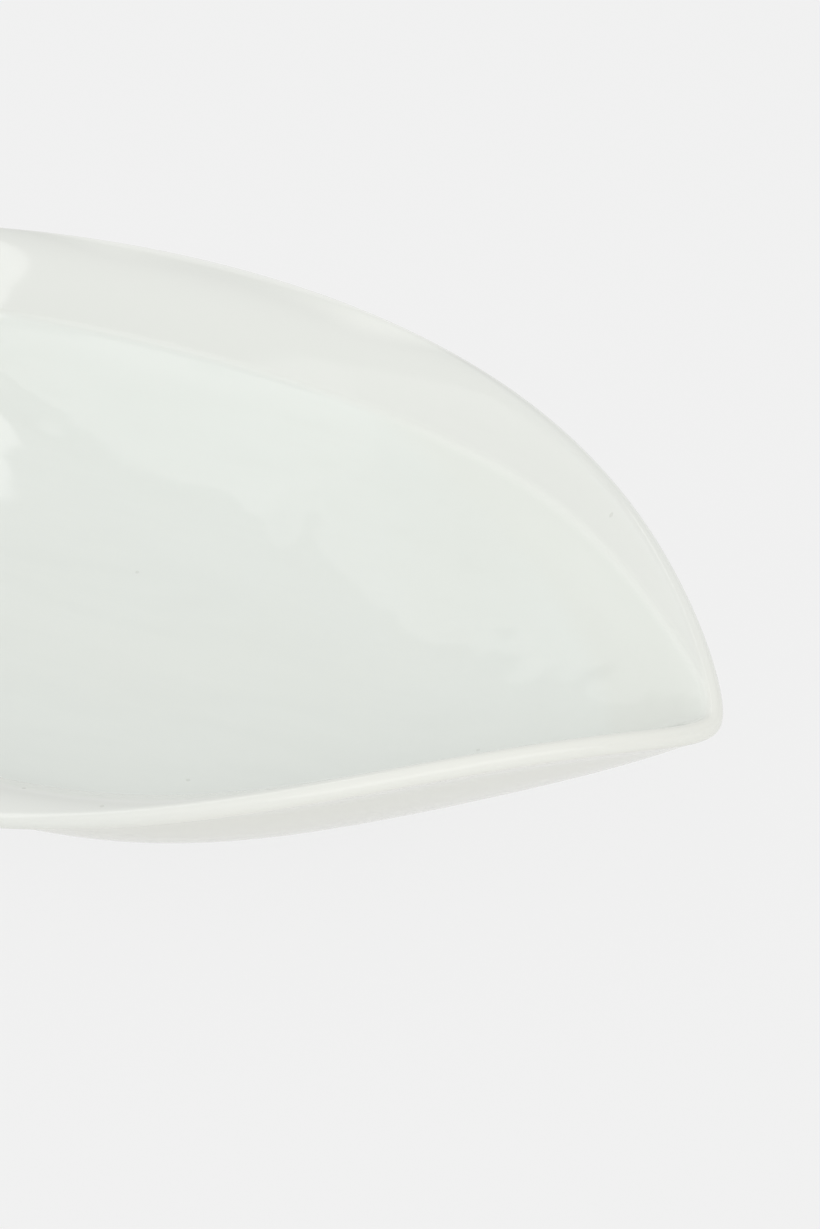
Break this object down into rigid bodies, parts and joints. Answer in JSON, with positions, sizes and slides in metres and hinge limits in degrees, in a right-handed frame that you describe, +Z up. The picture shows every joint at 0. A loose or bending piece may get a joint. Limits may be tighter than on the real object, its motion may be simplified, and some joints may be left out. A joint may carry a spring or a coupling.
{
  "type": "leaf shaped dish",
  "caption": "Leaf shaped serving dish, deep and pointed at both ends, with a lip that rolls over along its long sides and an oval foot ring underneath.",
  "frame": {"origin": "middle of the foot ring's resting face, on the surface that the dish stands on", "axes": "+X from the middle towards one tip, +Y towards one long side, +Z up"},
  "size_m": [0.3144, 0.1964, 0.0567],
  "materials": {
    "clay": "matt, fired and unglazed",
    "glaze": "glossy clear glaze, white with a faint green cast"
  },
  "bodies": {
    "root": {"dish_body": "clay", "foot_ring": "clay", "glaze_coat": "glaze", "foot_well_glaze": "glaze"}
  },
  "joints": []
}
